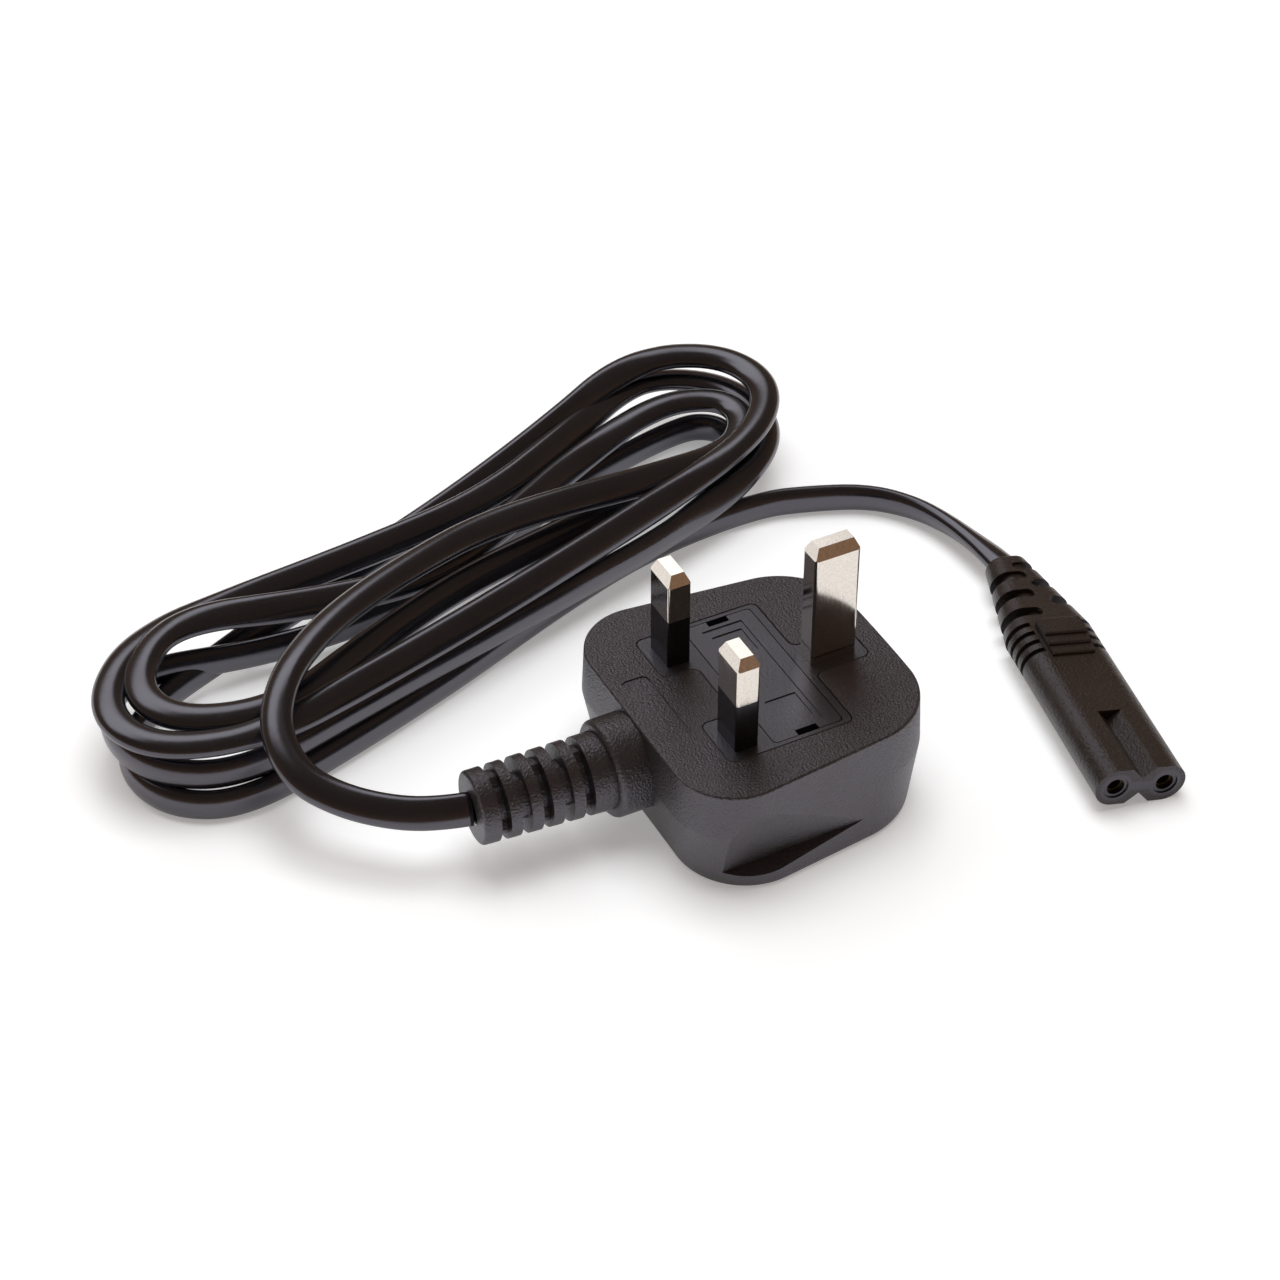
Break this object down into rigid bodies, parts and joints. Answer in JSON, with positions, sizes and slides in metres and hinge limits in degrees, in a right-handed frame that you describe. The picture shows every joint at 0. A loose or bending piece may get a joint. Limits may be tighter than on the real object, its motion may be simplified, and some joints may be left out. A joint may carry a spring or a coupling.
{
  "type": "power cord",
  "caption": "Moulded fused mains plug with flat pins on a flat cord wound in a loose hank, with a small oval appliance connector at the far end.",
  "frame": {"origin": "middle of the plug's flat back, where it lies on the table", "axes": "+Z along the pins, out of the pin face; +X from the cord outlet to the earth pin; +Y to the line pin"},
  "size_m": [0.1594, 0.1319, 0.0427],
  "materials": {
    "plug_pvc": "moulded black PVC with a fine spark-eroded texture",
    "plug_insert": "satin black nylon",
    "pin_metal": "nickel-plated brass, drawn and polished",
    "pin_sleeve": "smooth black insulating sleeve",
    "carrier_plastic": "satin black nylon",
    "fuse_ceramic": "white glazed ceramic",
    "fuse_cap": "nickel-plated brass",
    "fuse_wire": "tinned copper wire",
    "brass_strip": "pressed brass strip",
    "cord_pvc": "smooth black PVC sheath",
    "line_core": "brown PVC insulation",
    "neutral_core": "blue PVC insulation",
    "connector_pvc": "moulded black PVC with a fine texture",
    "connector_insert": "satin black nylon",
    "contact_brass": "rolled brass sleeve"
  },
  "bodies": {
    "lead": {"plug_moulding": "plug_pvc", "pin_bridge": "plug_insert", "line_pin": "pin_metal", "neutral_pin": "pin_metal", "earth_pin": "pin_metal", "line_pin_sleeve": "pin_sleeve", "neutral_pin_sleeve": "pin_sleeve", "line_fuse_clip": "brass_strip", "load_fuse_clip": "brass_strip", "neutral_crimp": "brass_strip", "plug_cord_tail": "cord_pvc", "plug_line_core": "line_core", "plug_neutral_core": "neutral_core", "connector_moulding": "connector_pvc", "connector_insert": "connector_insert", "line_contact": "contact_brass", "neutral_contact": "contact_brass", "connector_cord_tail": "cord_pvc", "connector_line_core": "line_core", "connector_neutral_core": "neutral_core", "cord_plug_lead": "cord_pvc", "cord_hank": "cord_pvc", "cord_connector_lead": "cord_pvc"},
    "fuse_drawer": {"fuse_carrier": "carrier_plastic", "fuse_tube": "fuse_ceramic", "fuse_cap_line": "fuse_cap", "fuse_cap_load": "fuse_cap", "fuse_element": "fuse_wire"}
  },
  "joints": [
    {"name": "fuse_lift", "type": "slide", "parent": "lead", "child": "fuse_drawer", "axis": [0, 0, 1], "range_m": [0, 0.034]}
  ]
}
